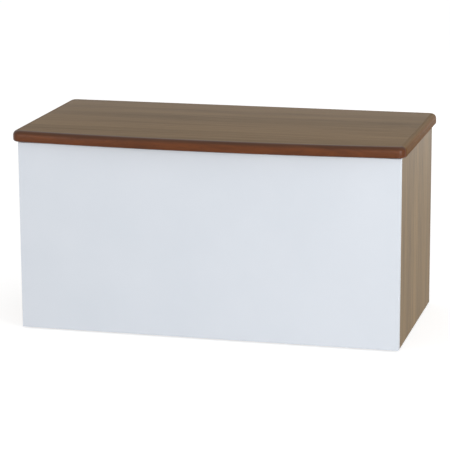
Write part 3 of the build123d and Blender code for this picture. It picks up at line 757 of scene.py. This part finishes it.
def make_lid_moulding():
    """The moulding all round the board, with a lacquer of its own on its front, ends and back, which also
    carry painted light: shade over the front's top round, and on the ends and back a lighter colour with a
    sheen over their top.
    """
    bm = bmesh.new()
    plan, thickness = lid_plan(bm)
    plan_half = max(vert.co.x for vert in plan.verts)
    ring = bmesh.ops.inset_region(
        bm, faces=[plan], thickness=MOULDING_WIDTH, use_even_offset=True, use_boundary=True
    )["faces"]
    outer_edges = [edge for edge in bm.edges if edge.is_boundary]
    bmesh.ops.delete(bm, geom=[plan], context="FACES")
    raise_faces(bm, ring, thickness)
    round_edges(bm, edges_above(outer_edges, thickness), MOULDING_TOP_RADIUS, MOULDING_TOP_STEPS)
    bottom_edges = [edge for edge in outer_edges if edge.is_valid]
    round_edges(bm, bottom_edges, MOULDING_BOTTOM_RADIUS, MOULDING_BOTTOM_STEPS)
    piece = finish_piece(bm, "lid_moulding", "lid", front_lacquer, ["lid_edge_moulding"])
    end_index = add_finish(piece, end_lacquer)
    back_index = add_finish(piece, back_lacquer)
    # Faces of the ends and back take the painted-light colour and painted sheen
    for polygon in piece.data.polygons:
        near_end = plan_half - abs(polygon.center.x) < LID_CORNER_RADIUS
        if near_end and abs(polygon.normal.x) >= END_FACING * abs(polygon.normal.y):
            polygon.material_index = end_index
        elif polygon.center.y > 0:
            polygon.material_index = back_index


make_lid_board()
make_lid_moulding()


# Edge tapes: strips between a panel's own box and the box of its tape, rounded on the outside

def add_tape(bm, low, high, axis, outer_level):
    """One strip, with the arrises of the face at its outer level along an axis rounded."""
    verts = add_box(bm, low, high)
    outer = [vert for vert in verts if abs(vert.co[axis] - outer_level) < SAME_LEVEL]
    round_edges(bm, edges_between(outer), TAPE_ARRIS, ARRIS_STEPS)


def make_tapes(panel, taped_ends, upright_material, level_material):
    """Strips along a panel's top and bottom, and along both its x ends or its back y end if it has them."""
    node = f"{panel}_edge_tape"
    low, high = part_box(panel)
    tape_low, tape_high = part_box(node)
    left_x = low.x if taped_ends == "x" else tape_low.x
    right_x = high.x if taped_ends == "x" else tape_high.x
    bm = bmesh.new()
    add_tape(bm, (left_x, tape_low.y, tape_low.z), (right_x, tape_high.y, low.z), Z, tape_low.z)
    add_tape(bm, (left_x, tape_low.y, high.z), (right_x, tape_high.y, tape_high.z), Z, tape_high.z)
    if taped_ends == "x":
        add_tape(bm, tape_low, (low.x, tape_high.y, tape_high.z), X, tape_low.x)
        add_tape(bm, (high.x, tape_low.y, tape_low.z), tape_high, X, tape_high.x)
    if taped_ends == "y":
        add_tape(bm, (tape_low.x, high.y, low.z), (tape_high.x, tape_high.y, high.z), Y, tape_high.y)
    piece = finish_piece(bm, f"{panel}_tape", "carcass", upright_material, [node])
    level_index = add_finish(piece, level_material)
    for polygon in piece.data.polygons:
        if not low.z < polygon.center.z < high.z:
            polygon.material_index = level_index


make_tapes("front_panel", "x", white_tape, white_tape)
make_tapes("back_panel", "", upright_tape, back_top_tape)
for side_name in SIDES:
    make_tapes(f"{side_name}_side_panel", "y", upright_tape, end_top_tape)


# Continuous hinge

hinge_axis = joint_places["lid_hinge"]
carcass_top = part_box("front_panel_edge_tape")[1].z
lid_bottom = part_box("lid_board")[0].z
lower_leaf_face = carcass_top + HINGE_LEAF
upper_leaf_face = lid_bottom - HINGE_LEAF


def make_hinge_leaf(name, body, node, first_knuckle, face_z, bed_z):
    """A leaf between its bed and its face, with every other knuckle rolled round the pin."""
    low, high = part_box(node)
    knuckle_radius = high.y - hinge_axis.y
    plate_end = hinge_axis.y - knuckle_radius - KNUCKLE_GAP
    bottom, top = sorted((face_z, bed_z))
    bm = bmesh.new()
    plate = add_box(bm, (low.x, low.y, bottom), (high.x, plate_end, top))
    round_edges(bm, edges_between(plate), LEAF_ARRIS, FINE_ARRIS_STEPS)
    pitch = (high.x - low.x) / HINGE_KNUCKLES
    for index in range(first_knuckle, HINGE_KNUCKLES, 2):
        start = low.x + index * pitch + KNUCKLE_GAP / 2
        end = start + pitch - KNUCKLE_GAP
        add_box(bm, (start, plate_end - KNUCKLE_GAP, bottom), (end, hinge_axis.y, top))
        start_point = (start, hinge_axis.y, hinge_axis.z)
        end_point = (end, hinge_axis.y, hinge_axis.z)
        roll_edges = edges_between(add_rod(bm, start_point, end_point, knuckle_radius))
        rims = [edge for edge in roll_edges if abs(edge.verts[0].co.x - edge.verts[1].co.x) < SAME_LEVEL]
        round_edges(bm, rims, KNUCKLE_ARRIS, FINE_ARRIS_STEPS)
    finish_piece(bm, name, body, plated_steel, [node])


def make_hinge_screws(name, body, node, face_z, normal):
    """Countersunk screws, evenly spaced along the pin."""
    low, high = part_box(node)
    pin_low, pin_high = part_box("hinge_pin")
    spacing = (pin_high.x - pin_low.x) / HINGE_SCREWS
    y = (low.y + high.y) / 2
    countersink = HINGE_SCREW_HEAD.radius - HINGE_SCREW_SHANK
    stem = screw_stem(HINGE_SCREW_SHANK, countersink, high.z - low.z)
    bm = bmesh.new()
    for index in range(HINGE_SCREWS):
        x = pin_low.x + spacing * (index + 0.5)
        add_recessed_head(bm, HINGE_SCREW_HEAD, place_at((x, y, face_z), normal), stem)
    finish_piece(bm, name, body, plated_steel, [node])


make_hinge_leaf("hinge_lower_leaf", "carcass", "hinge_carcass_leaf", 0, lower_leaf_face, carcass_top)
make_hinge_leaf("hinge_upper_leaf", "lid", "hinge_lid_leaf", 1, upper_leaf_face, lid_bottom)
make_hinge_screws("hinge_lower_screws", "carcass", "hinge_carcass_screws", lower_leaf_face, UP)
make_hinge_screws("hinge_upper_screws", "lid", "hinge_lid_screws", upper_leaf_face, -UP)


# Cam locks, glides and bumpers

def cam_places():
    """Where each cam's face lies and which way it looks."""
    back_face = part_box("back_panel")[1].y
    base_low, base_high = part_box("base_panel")
    tape_low, tape_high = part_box("front_panel_edge_tape")
    levels = (tape_low.z + CAM_INSET, tape_high.z - CAM_INSET)
    depths = (base_low.y + CAM_INSET, base_high.y - CAM_INSET)
    places = []
    for side_name, side in SIDES.items():
        side_low, side_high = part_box(f"{side_name}_side_panel")
        inner_x = side * min(abs(side_low.x), abs(side_high.x))
        cam_x = inner_x - side * CAM_EDGE_DISTANCE
        for z in levels:
            places.append(place_at((inner_x, side_low.y + CAM_EDGE_DISTANCE, z), (-side, 0, 0)))
            places.append(place_at((cam_x, back_face, z), (0, 1, 0)))
        for y in depths:
            places.append(place_at((cam_x, y, base_low.z), -UP))
    return places


def make_cams():
    """The cams, each sunk behind its own face."""
    bm = bmesh.new()
    for place in cam_places():
        add_recessed_head(bm, CAM_HEAD, place @ Matrix.Translation((0, 0, -CAM_HEAD.height)))
    finish_piece(bm, "cam_faces", "carcass", zinc_casting, ["cam_locks"])


def make_glides():
    """Four round pads, at the corners of their own box."""
    low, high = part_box("floor_glides")
    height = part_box("front_panel_edge_tape")[0].z
    profile = rounded_profile(GLIDE_RADIUS, height, GLIDE_ROUNDING)
    bm = bmesh.new()
    for x in (low.x + GLIDE_RADIUS, high.x - GLIDE_RADIUS):
        for y in (low.y + GLIDE_RADIUS, high.y - GLIDE_RADIUS):
            turned_shape(bm, profile, place_at((x, y, height), -UP))
    finish_piece(bm, "glide_pads", "carcass", glide_plastic, ["floor_glides"])


def make_bumpers():
    """Four soft pads on the rim: two on the front panel, two on the end panels."""
    low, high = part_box("lid_bumpers")
    profile = rounded_profile(BUMPER_RADIUS, high.z - low.z, BUMPER_ROUNDING)
    front_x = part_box("front_panel_edge_tape")[1].x - BUMPER_INSET
    end_x = high.x - BUMPER_RADIUS
    bm = bmesh.new()
    for side in SIDES.values():
        for x, y in ((side * front_x, low.y + BUMPER_RADIUS), (side * end_x, high.y - BUMPER_RADIUS)):
            turned_shape(bm, profile, place_at((x, y, low.z), UP))
    finish_piece(bm, "bumper_pads", "carcass", bumper_rubber, ["lid_bumpers"])


make_cams()
make_glides()
make_bumpers()


# Lid stays

def make_stay_arm(label, side_name, point_a, radius_a, point_b, radius_b):
    """A flat arm between two pivots, which is a body of its own."""
    node = f"stay_{label}_{side_name}"
    low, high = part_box(node)
    bm = bmesh.new()
    add_strap(bm, (low.x, high.x), point_a, radius_a, point_b, radius_b)
    finish_piece(bm, f"{label}_{side_name}", node, stay_steel, [node])


def make_stay_rivet(label, side_name, point, body):
    """A shank along X with a rounded head at each end."""
    node = f"stay_{label}_{side_name}"
    low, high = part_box(node)
    profile = rounded_profile(RIVET_RADIUS, RIVET_HEAD_HEIGHT, RIVET_ROUNDING)
    bm = bmesh.new()
    turned_shape(bm, profile, place_at((low.x + RIVET_HEAD_HEIGHT, *point), (-1, 0, 0)))
    turned_shape(bm, profile, place_at((high.x - RIVET_HEAD_HEIGHT, *point), (1, 0, 0)))
    shank_start = (low.x + RIVET_SHANK_SETBACK, *point)
    shank_end = (high.x - RIVET_SHANK_SETBACK, *point)
    add_rod(bm, shank_start, shank_end, RIVET_SHANK_RADIUS)
    finish_piece(bm, f"{label}_{side_name}", body, plated_steel, [node])


def make_stay(side_name):
    """One stay's arms and rivets: its pivots and the hinge are the corners of a parallelogram."""
    body_pivot = joint_places[f"crank_{side_name}_pivot"]
    lid_pivot = joint_places[f"link_{side_name}_pivot"]
    elbow = body_pivot + lid_pivot - hinge_axis
    body_yz, lid_yz, elbow_yz = [(point.y, point.z) for point in (body_pivot, lid_pivot, elbow)]
    make_stay_arm("crank", side_name, body_yz, CRANK_HUB_RADIUS, elbow_yz, CRANK_END_RADIUS)
    make_stay_arm("link", side_name, lid_yz, LINK_RADIUS, elbow_yz, LINK_RADIUS)
    make_stay_rivet("elbow_rivet", side_name, elbow_yz, f"stay_crank_{side_name}")
    make_stay_rivet("lid_rivet", side_name, lid_yz, "lid")


def add_stay_screw(bm, point, normal):
    """A round-headed screw whose head stands on a sheet's face."""
    stem = screw_stem(STAY_SCREW_SHANK, 0, STAY_SCREW_LENGTH)
    add_recessed_head(bm, STAY_SCREW_HEAD, place_at(point, normal), stem)


def make_housing_screws():
    """Two screws through the plate of each housing, into the end panel."""
    low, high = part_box("stay_housing_screws")
    radius = STAY_SCREW_HEAD.radius
    face_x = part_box("base_panel")[1].x - HOUSING_PLATE
    y = (low.y + high.y) / 2
    bm = bmesh.new()
    for side in SIDES.values():
        for z in (low.z + radius, high.z - radius):
            add_stay_screw(bm, (side * face_x, y, z), (-side, 0, 0))
    finish_piece(bm, "housing_screws", "carcass", plated_steel, ["stay_housing_screws"])


def make_bracket_screws():
    """Two screws through each bracket, up into the lid."""
    low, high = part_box("stay_bracket_screws")
    radius = STAY_SCREW_HEAD.radius
    bm = bmesh.new()
    for x in (low.x + radius, high.x - radius):
        for y in (low.y + radius, high.y - radius):
            add_stay_screw(bm, (x, y, lid_bottom - STAY_SHEET), -UP)
    finish_piece(bm, "bracket_screws", "lid", plated_steel, ["stay_bracket_screws"])


for side_name in SIDES:
    make_stay(side_name)
make_housing_screws()
make_bracket_screws()


# CAD nodes that stay, with their finishes

finishes = {
    "front_panel": white_melamine,
    "base_panel": white_melamine,
    "back_panel": back_laminate,
    "left_side_panel": end_laminate,
    "right_side_panel": end_laminate,
    "cam_bolts": plated_steel,
    "wood_dowels": beech,
    "hinge_pin": plated_steel,
}
for side_name in SIDES:
    finishes[f"stay_housing_{side_name}"] = damper_plastic
    finishes[f"stay_cap_{side_name}"] = damper_plastic
    finishes[f"stay_rotor_{side_name}"] = damper_plastic
    finishes[f"stay_lid_bracket_{side_name}"] = stay_steel
for node, finish in finishes.items():
    for slot in frame["nodes"][node].material_slots:
        slot.material = finish


# Floor, background and light

FLOOR_SIZE = 40
FLOOR_GREY = (0.55, 0.55, 0.55, 1)
FLOOR_GLOW = 0.70
SKY_LIGHT = 0.57
WHITE_LIGHT = (1, 1, 1, 1)
box_middle = (cad_box[0] + cad_box[1]) / 2


def seen_directly(tree):
    """One for rays from the camera or by way of a mirror or glass, else zero."""
    path = tree.nodes.new("ShaderNodeLightPath")
    seen = math_node(tree, "MAXIMUM", path.outputs["Is Camera Ray"], path.outputs["Is Glossy Ray"])
    return math_node(tree, "MAXIMUM", seen, path.outputs["Is Transmission Ray"])


def make_floor():
    """A pale floor that is white to the eye where nothing shades it, and keeps the box's shadow."""
    bm = bmesh.new()
    bmesh.ops.create_grid(bm, x_segments=1, y_segments=1, size=FLOOR_SIZE)
    mesh = bpy.data.meshes.new("floor")
    bm.to_mesh(mesh)
    bm.free()
    material = bpy.data.materials.new("floor")
    material.use_nodes = True
    tree = material.node_tree
    tree.nodes.clear()
    result = tree.nodes.new("ShaderNodeOutputMaterial")
    matt = add_node(tree, "ShaderNodeBsdfDiffuse", Color=FLOOR_GREY)
    glow = add_node(tree, "ShaderNodeEmission", Color=WHITE_LIGHT)
    both = tree.nodes.new("ShaderNodeAddShader")
    tree.links.new(math_node(tree, "MULTIPLY", seen_directly(tree), FLOOR_GLOW), glow.inputs["Strength"])
    tree.links.new(matt.outputs["BSDF"], both.inputs[0])
    tree.links.new(glow.outputs["Emission"], both.inputs[1])
    tree.links.new(both.outputs["Shader"], result.inputs["Surface"])
    mesh.materials.append(material)
    floor = bpy.data.objects.new("floor", mesh)
    bpy.context.collection.objects.link(floor)


def make_sky():
    """Soft even light all round, and a white background to the eye and in reflections."""
    world = bpy.data.worlds.new("studio")
    world.use_nodes = True
    tree = world.node_tree
    lift = math_node(tree, "MULTIPLY", seen_directly(tree), 1 - SKY_LIGHT)
    background = tree.nodes["Background"]
    background.inputs["Color"].default_value = WHITE_LIGHT
    tree.links.new(math_node(tree, "ADD", lift, SKY_LIGHT), background.inputs["Strength"])
    bpy.context.scene.world = world


def add_softbox(name, place, width, height, power):
    """A white rectangular lamp aimed at the middle of the box."""
    light = bpy.data.lights.new(name, "AREA")
    light.shape = "RECTANGLE"
    light.size = width
    light.size_y = height
    light.energy = power
    lamp = bpy.data.objects.new(name, light)
    lamp.location = place
    lamp.rotation_euler = (box_middle - Vector(place)).to_track_quat("-Z", "Y").to_euler()
    bpy.context.collection.objects.link(lamp)


make_floor()
make_sky()

# The two front lamps leave a gap that the middle of the moulding mirrors. The strip lights the right end
# and the corner, and the low lamp behind gives the right end its sheen.
add_softbox("left softbox", place=(-3.0, -3.9, 1.0), width=1.2, height=2.0, power=28)
add_softbox("right softbox", place=(1.1, -4.0, 1.0), width=1.0, height=2.0, power=19)
add_softbox("strip softbox", place=(3.8, -3.5, 0.85), width=0.8, height=1.6, power=108)
add_softbox("rim softbox", place=(1.1, 3.0, 0.35), width=0.8, height=0.5, power=15)


# Camera, set where the photograph's edges put it

CAMERA_PLACE = (1.2161, -4.78518, 1.3723)
CAMERA_HEADING = radians(-14.332)
CAMERA_PITCH = radians(13.132)
CAMERA_ROLL = radians(-0.306)
CAMERA_LENS = 176.096
CAMERA_SENSOR = 36
CAMERA_RANGE = 100


def make_camera():
    camera = bpy.data.cameras.new("camera")
    camera.sensor_fit = "HORIZONTAL"
    camera.sensor_width = CAMERA_SENSOR
    camera.lens = CAMERA_LENS
    camera.clip_end = CAMERA_RANGE
    view = bpy.data.objects.new("camera", camera)
    forward = Vector((
        sin(CAMERA_HEADING) * cos(CAMERA_PITCH),
        cos(CAMERA_HEADING) * cos(CAMERA_PITCH),
        -sin(CAMERA_PITCH),
    ))
    level = forward.to_track_quat("-Z", "Y").to_matrix().to_4x4()
    view.matrix_world = Matrix.Translation(CAMERA_PLACE) @ level @ Matrix.Rotation(CAMERA_ROLL, 4, "Z")
    bpy.context.collection.objects.link(view)
    bpy.context.scene.camera = view


make_camera()
bpy.context.scene.view_settings.view_transform = "Standard"

bpy.context.view_layer.update()
